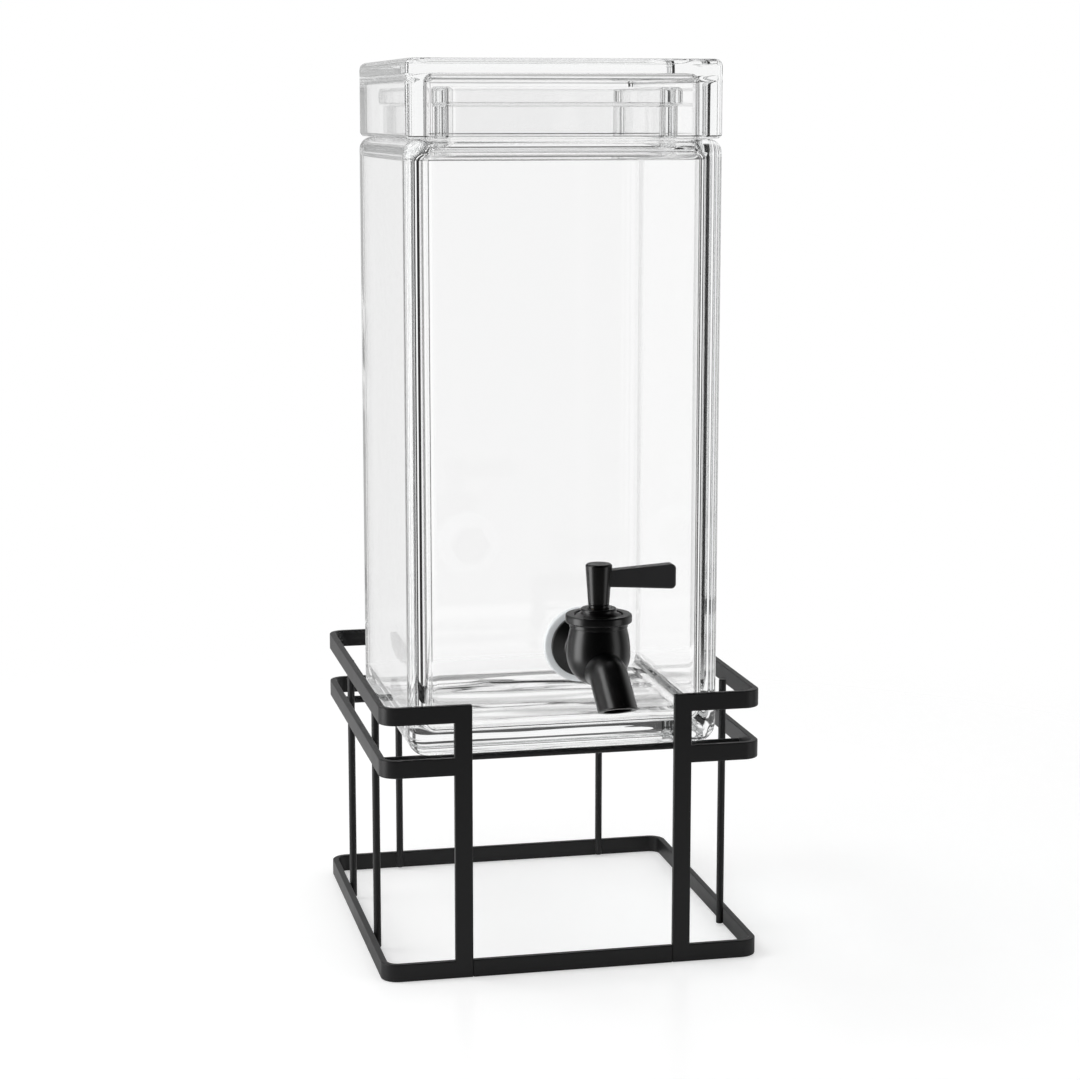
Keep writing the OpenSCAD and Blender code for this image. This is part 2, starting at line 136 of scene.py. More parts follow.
class StageSettings(bpy.types.PropertyGroup):
    """Camera, floor and light."""

    lens: number_prop("Lens", "Focal length of the camera in millimetres", 83.9)
    eye: FloatVectorProperty(
        name="Eye", description="Place of the camera",
        default=(-0.2837, -1.3181, 0.4399), subtype="TRANSLATION",
    )
    tilt: angle_prop("Tilt", "How far the camera looks down", 9.69)
    turn: angle_prop("Turn", "How far the camera turns to the right", 12.3)
    floor_colour: colour_prop("Floor Colour", "Colour of the floor", (0.8, 0.8, 0.8))
    floor_lift: share_prop("Floor Lift", "Light that the floor shows to the camera, glass and metal", 0.39)
    floor_gloss: share_prop("Floor Gloss", "Share of the floor that mirrors", 0.08)
    ambient: share_prop("Ambient", "Light from all round on matt surfaces", 0.62)
    front_dark: share_prop("Dark Front", "Brightness of the room in front, as metal mirrors it", 0.015)
    back_level: share_prop("Back Level", "Brightness of the studio behind, as metal mirrors it", 0.66)
    glass_level: share_prop("Glass Level", "Brightness of the studio as glass shows it", 1.03, 2.0)
    ceiling_dark: share_prop("Dark Ceiling", "Strength of the dark bands overhead that glass shows", 0.92)
    key_light: number_prop("Key Light", "Brightness of the soft box on the left", 4.8)
    fill_light: number_prop("Fill Light", "Brightness of the soft box on the right", 1.4)
    top_light: number_prop("Top Light", "Brightness of the soft box overhead", 4.6)


class GlassSettings(bpy.types.PropertyGroup):
    """Glass of the jar and lid."""

    colour: colour_prop("Colour", "Colour of thick glass seen edge on", (0.80, 0.82, 0.82))
    depth: number_prop("Depth", "Strength of that colour for each metre", 1.5)
    wave: length_prop("Wave", "Height of the slight waves of pressed glass", 0.00006)
    ripple: length_prop("Ripple", "Height of the ripples in the jar's thick base", 0.0026)
    jar_corner: length_prop("Jar Corner", "Radius of the jar's upright corners", 0.009)
    jar_foot: length_prop("Jar Foot", "Radius round the jar's bottom edge", 0.0105)
    shoulder_edge: length_prop("Shoulder Edge", "Radius round the shoulder", 0.007)
    jar_wall: length_prop("Jar Wall", "Thickness of the jar's wall", 0.0075)
    jar_base: length_prop("Jar Base", "Thickness of the jar's bottom", 0.012)
    jar_inner: length_prop("Inner Corner", "Radius of the jar's inner corners", 0.008)
    floor_edge: length_prop("Floor Edge", "Radius round the jar's inner floor", 0.007)
    roof_edge: length_prop("Roof Edge", "Radius where the inner wall meets the shoulder", 0.006)
    neck_height: length_prop("Neck Height", "Height of the neck above the shoulder", 0.026)
    neck_inset: length_prop("Neck Inset", "Set-back of the neck from the jar's wall", 0.019)
    neck_corner: length_prop("Neck Corner", "Radius of the neck's corners", 0.009)
    neck_wall: length_prop("Neck Wall", "Thickness of the neck", 0.007)
    rim_height: length_prop("Rim Height", "Height of the bead round the mouth", 0.009)
    rim_out: length_prop("Rim Out", "How far the bead stands out", 0.0025)
    shoulder_wall: length_prop("Shoulder Wall", "Thickness of the shoulder", 0.0048)
    tap_hole: length_prop("Tap Hole", "Diameter of the hole for the tap", 0.018)
    lid_corner: length_prop("Lid Corner", "Radius of the lid's upright corners", 0.004)
    lid_edge: length_prop("Lid Edge", "Radius round the lid's top", 0.0038)
    lid_foot: length_prop("Lid Foot", "Radius round the lid's underside", 0.0024)
    lid_wall: length_prop("Lid Wall", "Thickness of the lid's wall", 0.010)
    lid_top: length_prop("Lid Top", "Thickness of the lid's top", 0.0072)
    lid_inner: length_prop("Lid Inner Corner", "Radius of the lid's inner corners", 0.005)


class StandSettings(bpy.types.PropertyGroup):
    """Flat bar and rod of the frame."""

    colour: colour_prop("Colour", "Colour of the powder coat", (0.0095, 0.0095, 0.01))
    roughness: share_prop("Roughness", "Roughness of the powder coat", 0.42)
    grain: length_prop("Grain", "Size of the powder coat's grain", 0.0007)
    bar_edge: length_prop("Bar Edge", "Radius of the flat bar's edges", 0.0006)
    bend: length_prop("Bend", "Outer radius of the rails' bends", 0.009)
    rod_edge: length_prop("Rod Edge", "Radius round the rods' ends", 0.0005)


class TapSettings(bpy.types.PropertyGroup):
    """Tap through the jar's front."""

    colour: colour_prop("Colour", "Colour of the tap", (0.0012, 0.0012, 0.0013))
    # Lighter than the tap's own black: painted sheen for the light that the lever catches.
    lever_sheen_colour: colour_prop("Lever Colour", "Colour of the lever", (0.024, 0.024, 0.025))
    roughness: share_prop("Roughness", "Roughness of the tap", 0.29)
    silicone: colour_prop("Silicone", "Colour of the washers", (0.84, 0.86, 0.87))
    brass: colour_prop("Brass", "Colour of the plug and stem", (0.72, 0.52, 0.25))
    rubber: colour_prop("Rubber", "Colour of the plug's rings", (0.02, 0.02, 0.02))
    screw: colour_prop("Screw", "Colour of the set screw", (0.30, 0.30, 0.31))
    belly: length_prop("Belly", "Radius of the tap's belly", 0.016)
    belly_up: length_prop("Belly Up", "Height of the widest place above the inlet", 0.003)
    belly_tall: length_prop("Belly Tall", "Height of the belly above its widest place", 0.014)
    belly_top: length_prop("Belly Top", "Radius at the top of the belly", 0.0141)
    seat: length_prop("Seat", "Radius of the ring under the bonnet", 0.0146)
    seat_tall: length_prop("Seat Tall", "Height of that ring", 0.0023)
    throat: length_prop("Throat", "Radius of the neck behind the belly", 0.0095)
    cone: length_prop("Cone", "Length of the cone behind the flange", 0.0052)
    flange: length_prop("Flange", "Radius of the flange", 0.016)
    flange_thick: length_prop("Flange Thick", "Thickness of the flange's edge", 0.0024)
    shank: length_prop("Shank", "Radius of the thread", 0.0079)
    thread: length_prop("Thread", "Pitch of the thread", 0.0015)
    bore: length_prop("Bore", "Radius of the inlet's bore", 0.0043)
    spout: length_prop("Spout", "Radius of the spout at its root", 0.0097)
    mouth: length_prop("Mouth", "Radius of the spout at its mouth", 0.0097)
    mouth_bore: length_prop("Mouth Bore", "Radius of the spout's bore", 0.007)
    spout_drop: length_prop("Spout Drop", "How far the spout's root lies below the inlet", 0.003)
    spout_level: length_prop("Spout Level", "Length of the spout's level start", 0.0165)
    spout_bend: length_prop("Spout Bend", "Radius of the spout's bend", 0.014)
    spout_long: length_prop("Spout Long", "Length of the spout after its bend", 0.0198)
    spout_lean: angle_prop("Spout Lean", "Lean of the spout to the front", 55)
    mouth_tilt: angle_prop("Mouth Tilt", "Tilt of the spout's mouth", 20)
    stem: length_prop("Stem", "Radius of the hole for the stem", 0.0035)
    bonnet_edge: length_prop("Bonnet Edge", "Radius round the bonnet", 0.0010)
    recess: length_prop("Recess", "Radius of the hollow in the bonnet's top", 0.0122)
    recess_deep: length_prop("Recess Deep", "Depth of that hollow", 0.0015)
    collar_bevel: length_prop("Collar Bevel", "Bevel of the collar round the stem", 0.0005)
    collar: length_prop("Collar", "Radius of the collar above its flared foot", 0.0091)
    hub_low: length_prop("Hub Low", "Radius of the hub at its foot", 0.0053)
    hub_step: length_prop("Hub Step", "Radius of the step under the hub", 0.0051)
    hub_step_tall: length_prop("Hub Step Tall", "Height of that step", 0.0015)
    hub_bevel: length_prop("Hub Bevel", "Bevel round the hub's top", 0.0008)
    lever_root: length_prop("Lever Root", "Height of the lever at the hub", 0.0086)
    lever_corner: length_prop("Lever Corner", "Radius of the lever's free corners", 0.0024)
    lever_bevel: length_prop("Lever Bevel", "Bevel along the lever", 0.0010)


# Shapes


def rounded_corner(before, corner, after, radius, steps):
    """Points of the arc that rounds a corner between two straight lines."""
    back = (before - corner).normalized()
    ahead = (after - corner).normalized()
    half = back.angle(ahead) / 2
    start = corner + back * (radius / math.tan(half))
    end = corner + ahead * (radius / math.tan(half))
    centre = corner + (back + ahead).normalized() * (radius / math.sin(half))
    first, last = (start - centre).normalized(), (end - centre).normalized()
    return [centre + first.slerp(last, i / steps) * radius for i in range(steps + 1)]


def rounded_line(corners, steps=ARC_STEPS, closed=False):
    """Points of a line through the corners (x, y, radius), each rounded by its radius."""
    spots = [Vector(corner[:2]) for corner in corners]
    line = []
    for i, corner in enumerate(corners):
        loose_end = not closed and i in (0, len(corners) - 1)
        if loose_end or not corner[2]:
            line.append(spots[i])
        else:
            line += rounded_corner(spots[i - 1], spots[i], spots[(i + 1) % len(spots)], corner[2], steps)
    return line


def round_ring(radius, height, steps):
    """Points round a circle, or its middle alone where it has no radius."""
    turns = [2 * math.pi * i / steps for i in range(steps if radius > NO_RADIUS else 1)]
    return [Vector((radius * math.cos(a), radius * math.sin(a), height)) for a in turns]


def square_ring(half, corner, z):
    """Points round a square with rounded corners."""
    reach = half - corner
    ring = []
    for quarter in range(4):
        turn = quarter * math.pi / 2
        middle = Matrix.Rotation(turn, 2) @ Vector((reach, reach))
        for i in range(CORNER_STEPS + 1):
            angle = turn + math.pi / 2 * i / CORNER_STEPS
            ring.append((middle.x + corner * math.cos(angle), middle.y + corner * math.sin(angle), z))
    return ring


def skin_rows(bm, rows, closed=False, caps=False):
    """Faces between rows of points that run round, with a point alone as a pole."""
    made = [[bm.verts.new(point) for point in row] for row in rows]
    pairs = list(zip(made, made[1:])) + ([(made[-1], made[0])] if closed else [])
    for low, high in pairs:
        for i in range(max(len(low), len(high))):
            a, b = low[i % len(low)], low[(i + 1) % len(low)]
            c, d = high[(i + 1) % len(high)], high[i % len(high)]
            bm.faces.new(dict.fromkeys((a, b, c, d)))
    if caps:
        bm.faces.new(made[0])
        bm.faces.new(made[-1])


def mesh_from(bm):
    """The finished mesh of a bmesh."""
    bmesh.ops.recalc_face_normals(bm, faces=bm.faces)
    mesh = bpy.data.meshes.new("shape")
    bm.to_mesh(mesh)
    bm.free()
    return mesh


def skin(rows, closed=False, caps=False):
    """Mesh of the faces between rows of points."""
    bm = bmesh.new()
    skin_rows(bm, rows, closed, caps)
    return mesh_from(bm)


def square_vessel(corners):
    """A square body lofted through corners (half width, height, edge radius, corner radius)."""
    spots = [Vector(corner[:2]) for corner in corners]
    rows = []
    for i in range(1, len(corners) - 1):
        half, _, edge, plan = corners[i]
        for spot in rounded_corner(spots[i - 1], spots[i], spots[i + 1], edge, ARC_STEPS):
            rows.append(square_ring(spot.x, max(plan + spot.x - half, plan / 2), spot.y))
    return skin(rows, caps=True)


def lathe(profile, place, steps=ROUND_STEPS, closed=False):
    """Mesh of a profile of (radius, height) points that is turned round its height."""
    rows = [[place @ point for point in round_ring(radius, height, steps)] for radius, height in profile]
    return skin(rows, closed=closed)


def bar_rows(corners, section, bottom):
    """Rows of a flat bar's section along its bent run."""
    path = rounded_line(corners, steps=BEND_STEPS)
    rows = []
    for i, spot in enumerate(path):
        ahead = (path[min(i + 1, len(path) - 1)] - path[max(i - 1, 0)]).normalized()
        rows.append([
            (spot.x - ahead.y * across, spot.y + ahead.x * across, bottom + up) for across, up in section
        ])
    return rows


def combined(first, second, operation):
    """One mesh of two solids that are joined, or of the first cut by the second."""
    base = bpy.data.objects.new("work_base", first)
    tool = bpy.data.objects.new("work_tool", second)
    for work in (base, tool):
        bpy.context.scene.collection.objects.link(work)
    step = base.modifiers.new("combine", "BOOLEAN")
    step.operation = operation
    step.solver = "EXACT"
    step.object = tool
    graph = bpy.context.evaluated_depsgraph_get()
    result = bpy.data.meshes.new_from_object(base.evaluated_get(graph))
    for work in (base, tool):
        bpy.data.objects.remove(work)
    for mesh in (first, second):
        bpy.data.meshes.remove(mesh)
    return result


def settle(name, mesh, material, body, slot, *nodes):
    """Sets a finished mesh in the scene as a piece that rides on its body and stands for its nodes."""
    mesh.name = name
    mesh.shade_smooth()
    mesh.set_sharp_from_angle(angle=SHARP_ANGLE)
    mesh.materials.clear()
    mesh.materials.append(material)
    piece = bpy.data.objects.new(name, mesh)
    bpy.context.scene.collection.objects.link(piece)
    even = piece.modifiers.new("even_normals", "WEIGHTED_NORMAL")
    even.keep_sharp = True
    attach(piece, body)
    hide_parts(*nodes)
    return piece


# Node building


def put(tree, kind, **values):
    """A new node with its settings."""
    node = tree.nodes.new(kind)
    for key, value in values.items():
        setattr(node, key, value)
    return node


def feed(tree, socket, value):
    """Links an output to a socket, or sets the socket to a plain value."""
    if isinstance(value, bpy.types.NodeSocket):
        tree.links.new(value, socket)
    else:
        socket.default_value = value


def fill(tree, node, values):
    """Feeds a node's named inputs."""
    for name, value in values.items():
        feed(tree, node.inputs[name], value)


def sums(tree, operation, *values):
    """The output of a Math node."""
    node = put(tree, "ShaderNodeMath", operation=operation)
    for socket, value in zip(node.inputs, values):
        feed(tree, socket, value)
    return node.outputs[0]


def ramp(tree, value, low, high, start, end):
    """A soft step from start to end as value goes from low to high."""
    node = put(tree, "ShaderNodeMapRange", interpolation_type="SMOOTHSTEP")
    fill(tree, node, {"Value": value, "From Min": low, "From Max": high, "To Min": start, "To Max": end})
    return node.outputs["Result"]


def blend(tree, factor, low, high):
    """A value between low and high."""
    node = put(tree, "ShaderNodeMix", data_type="FLOAT")
    for socket, value in zip(node.inputs[:1] + node.inputs[2:4], (factor, low, high)):
        feed(tree, socket, value)
    return node.outputs[0]


def split(tree, vector):
    """The X, Y and Z of a vector."""
    node = put(tree, "ShaderNodeSeparateXYZ")
    feed(tree, node.inputs[0], vector)
    return node.outputs


def noise(tree, vector, scale, detail):
    """Noise over a surface."""
    node = put(tree, "ShaderNodeTexNoise")
    fill(tree, node, {"Vector": vector, "Scale": scale, "Detail": detail})
    return node.outputs[0]


def mixed(tree, factor, first, second):
    """A shader between two others."""
    node = put(tree, "ShaderNodeMixShader")
    for socket, value in zip(node.inputs, (factor, first, second)):
        feed(tree, socket, value)
    return node.outputs[0]


def new_material(name):
    """A new material, its tree and its surface shader."""
    material = bpy.data.materials.new(name)
    material.use_nodes = True
    return material, material.node_tree, material.node_tree.nodes["Principled BSDF"]


def coat_grain():
    """Group: the grain, patches and slight colour drift of a coated, moulded or turned surface."""
    found = bpy.data.node_groups.get("coat_grain")
    if found:
        return found
    group = bpy.data.node_groups.new("coat_grain", "ShaderNodeTree")
    made = group.interface
    made.new_socket("Colour", in_out="INPUT", socket_type="NodeSocketColor")
    for label in ("Grain Scale", "Patch Scale", "Roughness", "Roughness Spread", "Colour Spread"):
        made.new_socket(label, in_out="INPUT", socket_type="NodeSocketFloat")
    made.new_socket("Colour", in_out="OUTPUT", socket_type="NodeSocketColor")
    for label in ("Roughness", "Height"):
        made.new_socket(label, in_out="OUTPUT", socket_type="NodeSocketFloat")
    given = put(group, "NodeGroupInput").outputs
    result = put(group, "NodeGroupOutput")
    place = put(group, "ShaderNodeTexCoord").outputs["Object"]
    fine = noise(group, place, given["Grain Scale"], detail=2.0)
    patch = noise(group, place, given["Patch Scale"], detail=4.0)
    uneven = sums(group, "SUBTRACT", sums(group, "ADD", fine, patch), 1.0)
    shade = put(group, "ShaderNodeHueSaturation")
    tone = sums(group, "MULTIPLY_ADD", uneven, given["Colour Spread"], 1.0)
    fill(group, shade, {"Value": tone, "Color": given["Colour"]})
    drift = sums(group, "MULTIPLY", uneven, given["Roughness Spread"])
    fill(group, result, {
        "Colour": shade.outputs["Color"],
        "Roughness": sums(group, "ADD", given["Roughness"], drift),
        "Height": fine,
    })
    return group


def coated(name, colour, roughness, grain, bump, spread=0.06, drift=0.15, metallic=0.0, specular=0.5):
    """A surface with grain and slight patches."""
    found = bpy.data.materials.get(name)
    if found:
        return found
    material, tree, surface = new_material(name)
    texture = put(tree, "ShaderNodeGroup", node_tree=coat_grain())
    fill(tree, texture, {
        "Colour": (*colour, 1), "Grain Scale": 1 / grain, "Patch Scale": PATCH_SCALE,
        "Roughness": roughness, "Roughness Spread": spread, "Colour Spread": drift,
    })
    relief = put(tree, "ShaderNodeBump")
    fill(tree, relief, {"Strength": 1.0, "Distance": bump, "Height": texture.outputs["Height"]})
    fill(tree, surface, {
        "Base Color": texture.outputs["Colour"], "Roughness": texture.outputs["Roughness"],
        "Normal": relief.outputs["Normal"], "Metallic": metallic, "Specular IOR Level": specular,
    })
    return material


def powder_coat():
    """Satin black powder coat of the frame."""
    made = bpy.context.scene.dispenser_stand
    return coated("black_powder_coat", made.colour, made.roughness, made.grain, bump=0.00004, specular=0.34)


def tap_black():
    """Satin black of the tap."""
    made = bpy.context.scene.dispenser_tap
    return coated("satin_black_tap", made.colour, made.roughness, grain=0.0004, bump=0.000004, spread=0.05)


def painted_sheen_lever_black():
    """Satin black of the lever, a slightly greyer copy of the tap's black: painted sheen that stands in for
    light the lever catches.
    """
    made = bpy.context.scene.dispenser_tap
    return coated("lever_black_painted_sheen", made.lever_sheen_colour, made.roughness, grain=0.0004, bump=0.000004)


def silicone():
    """Milky clear silicone of the washers, with a faint painted glow that stands in for the light passing
    through it.
    """
    made = bpy.context.scene.dispenser_tap
    material = coated("clear_silicone", made.silicone, roughness=0.38, grain=0.0006, bump=0.00001, drift=0.06)
    # Painted glow: a faint emission stands in for light that passes through the washers. It is not a lamp.
    fill(material.node_tree, material.node_tree.nodes["Principled BSDF"], {
        "Subsurface Weight": 0.35, "Subsurface Radius": (0.003, 0.003, 0.003), "Subsurface Scale": 1.0,
        "Emission Color": (0.93, 0.97, 1.0, 1), "Emission Strength": 0.08,
    })
    return material


def thick_base_ripple(tree, made, up):
    """Height of the ripples: full on the jar's inner floor, less on its underside, none on walls and lid."""
    floor, near, far = JAR_LOW[2] + made.jar_base, 0.001, 0.003
    underside = 0.3 * made.ripple
    sloping, flat = 0.85, 0.98
    facing = split(tree, put(tree, "ShaderNodeNewGeometry").outputs["True Normal"])
    level = ramp(tree, sums(tree, "ABSOLUTE", facing["Z"]), sloping, flat, 0.0, 1.0)
    above = ramp(tree, up, floor + near, floor + far, 1.0, 0.0)
    inner = ramp(tree, up, floor - far, floor - near, underside, made.ripple)
    return sums(tree, "MULTIPLY", sums(tree, "MULTIPLY", inner, above), level)


def pressed_glass():
    """Clear pressed glass with slight waves, darker where it is seen along its depth."""
    found = bpy.data.materials.get("pressed_glass")
    if found:
        return found
    made = bpy.context.scene.dispenser_glass
    material, tree, surface = new_material("pressed_glass")
    place = put(tree, "ShaderNodeTexCoord").outputs["Object"]
    drawn_out = put(tree, "ShaderNodeVectorMath", operation="MULTIPLY")
    feed(tree, drawn_out.inputs[0], place)
    feed(tree, drawn_out.inputs[1], (0.25, 1, 1))
    waves = noise(tree, place, scale=22.0, detail=1.0)
    ripples = noise(tree, drawn_out.outputs[0], scale=40.0, detail=0.6)
    thick = thick_base_ripple(tree, made, split(tree, place)["Z"])
    height = sums(tree, "MULTIPLY_ADD", ripples, thick, sums(tree, "MULTIPLY", waves, made.wave))
    relief = put(tree, "ShaderNodeBump")
    fill(tree, relief, {"Distance": 1.0, "Height": height})
    fill(tree, surface, {
        "Base Color": (1, 1, 1, 1), "Roughness": 0.0, "IOR": 1.47, "Transmission Weight": 1.0,
        "Normal": relief.outputs["Normal"],
    })
    clear = put(tree, "ShaderNodeBsdfTransparent")
    fill(tree, clear, {"Color": (0.93, 0.94, 0.94, 1)})
    inside = put(tree, "ShaderNodeVolumeAbsorption")
    fill(tree, inside, {"Color": (*made.colour, 1), "Density": made.depth})
    shadow = put(tree, "ShaderNodeLightPath").outputs["Is Shadow Ray"]
    fill(tree, tree.nodes["Material Output"], {
        "Surface": mixed(tree, shadow, surface.outputs[0], clear.outputs[0]), "Volume": inside.outputs[0],
    })
    return material


# Stage


def mirrored_level(tree, made, behind):
    """What metal mirrors low down: bright behind the object and dark in front of it."""
    return ramp(tree, behind, *FRONT_TO_BACK, made.front_dark, made.back_level)


def flag_level(tree, aim):
    """White all round with upright dark flags, as the sides of the studio look through glass."""
    bearing = sums(tree, "ARCTAN2", aim["X"], aim["Y"])
    level = 1.0
    for middle, half, shade in FLAGS:
        off = sums(tree, "ABSOLUTE", sums(tree, "SUBTRACT", bearing, math.radians(middle)))
        mask = ramp(tree, off, math.radians(FLAG_CORE * half), math.radians(half), 1 - shade, 1.0)
        level = sums(tree, "MULTIPLY", level, mask)
    return sums(tree, "MAXIMUM", level, ramp(tree, aim["Z"], *FLOOR_BELOW, 1.0, 0.0))


def ceiling_level(tree, made, aim):
    """White overhead with two dark bands, as the ceiling looks through glass."""
    level = 1.0
    for low, high in CEILING_BANDS:
        off = sums(tree, "ABSOLUTE", sums(tree, "SUBTRACT", aim["Z"], (low + high) / 2))
        half = (high - low) / 2
        mask = ramp(tree, off, BAND_CORE * half, half, 1.0 - made.ceiling_dark, 1.0)
        level = sums(tree, "MULTIPLY", level, mask)
    return level


def studio_world(made):
    """White studio that shows glass its flags and ceiling, and metal its dark front."""
    world = bpy.data.worlds.new("white_studio")
    world.use_nodes = True
    world.cycles.sampling_method = "NONE"
    tree = world.node_tree
    path = put(tree, "ShaderNodeLightPath").outputs
    aim = split(tree, put(tree, "ShaderNodeTexCoord").outputs["Generated"])
    overhead = ramp(tree, aim["Z"], *SIDES_TO_OVERHEAD, 1.0, made.front_dark)
    mirrored = sums(tree, "MULTIPLY", mirrored_level(tree, made, aim["Y"]), overhead)
    through = sums(tree, "MULTIPLY", flag_level(tree, aim), ceiling_level(tree, made, aim))
    through = sums(tree, "MULTIPLY", through, made.glass_level)
    level = blend(tree, path["Is Glossy Ray"], made.ambient, mirrored)
    level = blend(tree, path["Is Transmission Ray"], level, through)
    level = blend(tree, path["Is Camera Ray"], level, 1.0)
    fill(tree, tree.nodes["Background"], {"Color": (1, 1, 1, 1), "Strength": level})
    bpy.context.scene.world = world


def pale_floor(made):
    """White floor that keeps the object's shadow near it and fades into the white studio."""
    bm = bmesh.new()
    bm.faces.new([bm.verts.new(point) for point in round_ring(FLOOR_REACH, -FLOOR_SINK, FINE_STEPS)])
    floor = bpy.data.objects.new("floor", mesh_from(bm))
    floor.data.name = "floor"
    bpy.context.scene.collection.objects.link(floor)
    material, tree, unused = new_material("pale_floor")
    tree.nodes.remove(unused)
    path = put(tree, "ShaderNodeLightPath").outputs
    place = put(tree, "ShaderNodeTexCoord").outputs["Object"]
    away = put(tree, "ShaderNodeVectorMath", operation="LENGTH")
    feed(tree, away.inputs[0], place)
    far = away.outputs["Value"]
    matt = put(tree, "ShaderNodeBsdfDiffuse")
    fill(tree, matt, {"Color": (*made.floor_colour, 1)})
    mirror = put(tree, "ShaderNodeBsdfAnisotropic")
    fill(tree, mirror, {"Roughness": FLOOR_MIRROR_ROUGHNESS})
    base = mixed(tree, made.floor_gloss, matt.outputs[0], mirror.outputs[0])
    mirrored = mirrored_level(tree, made, sums(tree, "DIVIDE", split(tree, place)["Y"], far))
    direct = sums(tree, "MAXIMUM", path["Is Camera Ray"], path["Is Transmission Ray"])
    seen = sums(tree, "MAXIMUM", sums(tree, "MULTIPLY", path["Is Glossy Ray"], mirrored), direct)
    lift = put(tree, "ShaderNodeEmission")
    fill(tree, lift, {"Strength": sums(tree, "MULTIPLY", seen, made.floor_lift)})
    near = put(tree, "ShaderNodeAddShader")
    feed(tree, near.inputs[0], base)
    feed(tree, near.inputs[1], lift.outputs[0])
    open_edge = put(tree, "ShaderNodeBsdfTransparent").outputs[0]
    fade = ramp(tree, far, *FLOOR_FADE, 0.0, 1.0)
    fill(tree, tree.nodes["Material Output"], {"Surface": mixed(tree, fade, near.outputs[0], open_edge)})
    floor.data.materials.append(material)


def soft_box(name, place, size, brightness):
    """A soft box that points at the middle of the object, and that neither glass nor camera shows."""
    wide, tall = size
    lamp = bpy.data.lights.new(name, "AREA")
    lamp.shape = "RECTANGLE"
    lamp.size, lamp.size_y = wide, tall
    lamp.energy = brightness * math.pi * wide * tall
    box = bpy.data.objects.new(name, lamp)
    box.location = place
    box.rotation_euler = (LIGHT_AIM - Vector(place)).to_track_quat("-Z", "Y").to_euler()
    box.visible_transmission = False
    box.visible_camera = False
    bpy.context.scene.collection.objects.link(box)


class DISPENSER_OT_stage(bpy.types.Operator):
    """Sets up the floor, the light and the camera"""

    bl_idname = "dispenser.stage"
    bl_label = "Stage"

    def execute(self, context):
        made = context.scene.dispenser_stage
        context.scene.view_settings.view_transform = "Standard"
        paths = context.scene.cycles
        paths.max_bounces = ALL_BOUNCES
        paths.glossy_bounces = MIRROR_BOUNCES
        paths.transmission_bounces = GLASS_BOUNCES
        studio_world(made)
        pale_floor(made)
        for name, place, size, setting in SOFT_BOXES:
            soft_box(name, place, size, getattr(made, setting))
        lens = bpy.data.cameras.new("camera")
        lens.lens = made.lens
        camera = bpy.data.objects.new("camera", lens)
        camera.location = made.eye
        camera.rotation_euler = (math.radians(90) - made.tilt, 0, -made.turn)
        context.scene.collection.objects.link(camera)
        context.scene.camera = camera
        return {"FINISHED"}


# Stand


class DISPENSER_OT_rails(bpy.types.Operator):
    """Builds the three bent rails, open in front between the posts"""

    bl_idname = "dispenser.rails"
    bl_label = "Bent Rails"

    def execute(self, context):
        made = context.scene.dispenser_stand
        bar_low, bar_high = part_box("base_front_bar")
        thick = bar_high[1] - bar_low[1]
        half, edge, bend = thick / 2, made.bar_edge, made.bend - thick / 2
        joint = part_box("front_post_right")[1][0] - edge
        run_end = 0.088
        for level in ("upper", "shelf", "base"):
            node = level + "_rail"
            low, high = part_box(node)
            line, tall = high[0] - half, high[2] - low[2]
            section = rounded_line(
                [(-half, 0, edge), (half, 0, edge), (half, tall, edge), (-half, tall, edge)],
                steps=EDGE_STEPS, closed=True,
            )
            runs = {
                "left": [(-joint, -line, 0), (-line, -line, bend), (-line, run_end, 0)],
                "back": [(-line, run_end, 0), (-line, line, bend), (line, line, bend), (line, run_end, 0)],
                "right": [(line, run_end, 0), (line, -run_end, 0)],
                "stub": [(line, -run_end, 0), (line, -line, bend), (joint, -line, 0)],
            }
            for side, corners in runs.items():
                mesh = skin(bar_rows(corners, section, low[2]), caps=True)
                bar = settle(f"rail_{level}_{side}", mesh, powder_coat(), "stand", "black_steel", node)
                in_front = side in ("left", "stub")
                bar.visible_transmission = in_front or (side == "right" and node == "base_rail")
                bar.visible_glossy = node == "base_rail"
        return {"FINISHED"}


class DISPENSER_OT_posts(bpy.types.Operator):
    """Builds the two flat posts and the short bar between their feet"""

    bl_idname = "dispenser.posts"
    bl_label = "Posts"

    def execute(self, context):
        edge = context.scene.dispenser_stand.bar_edge
        for name, node in (
            ("post_left", "front_post_left"),
            ("post_right", "front_post_right"),
            ("front_bar", "base_front_bar"),
        ):
            low, high = (Vector(corner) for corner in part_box(node))
            bm = bmesh.new()
            bmesh.ops.create_cube(bm, size=1, matrix=Matrix.LocRotScale((low + high) / 2, None, high - low))
            bmesh.ops.bevel(
                bm, geom=bm.edges[:], offset=edge, segments=EDGE_STEPS, profile=0.5, affect="EDGES",
                clamp_overlap=True,
            )
            settle(name, mesh_from(bm), powder_coat(), "stand", "black_steel", node)
        return {"FINISHED"}


class DISPENSER_OT_rods(bpy.types.Operator):
    """Builds the round uprights and the two cross rods under the jar"""

    bl_idname = "dispenser.rods"
    bl_label = "Rods"

    def execute(self, context):
        edge = context.scene.dispenser_stand.rod_edge
        for node in frame["nodes"]:
            if "_rod_" not in node:
                continue
            low, high = (Vector(corner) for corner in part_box(node))
            size = high - low
            across = node.startswith("cross")
            radius, half = size.y / 2, (size.x if across else size.z) / 2
            profile = rounded_line(
                [(0, -half, 0), (radius, -half, edge), (radius, half, edge), (0, half, 0)], steps=EDGE_STEPS
            )
            place = Matrix.Translation((low + high) / 2) @ (ALONG_X if across else Matrix())
            mesh = lathe(profile, place, steps=ROD_STEPS)
            rod = settle("round_" + node, mesh, powder_coat(), "stand", "black_steel", node)
            rod.visible_transmission = across or low.y < 0
            rod.visible_glossy = across
        return {"FINISHED"}


# Glass


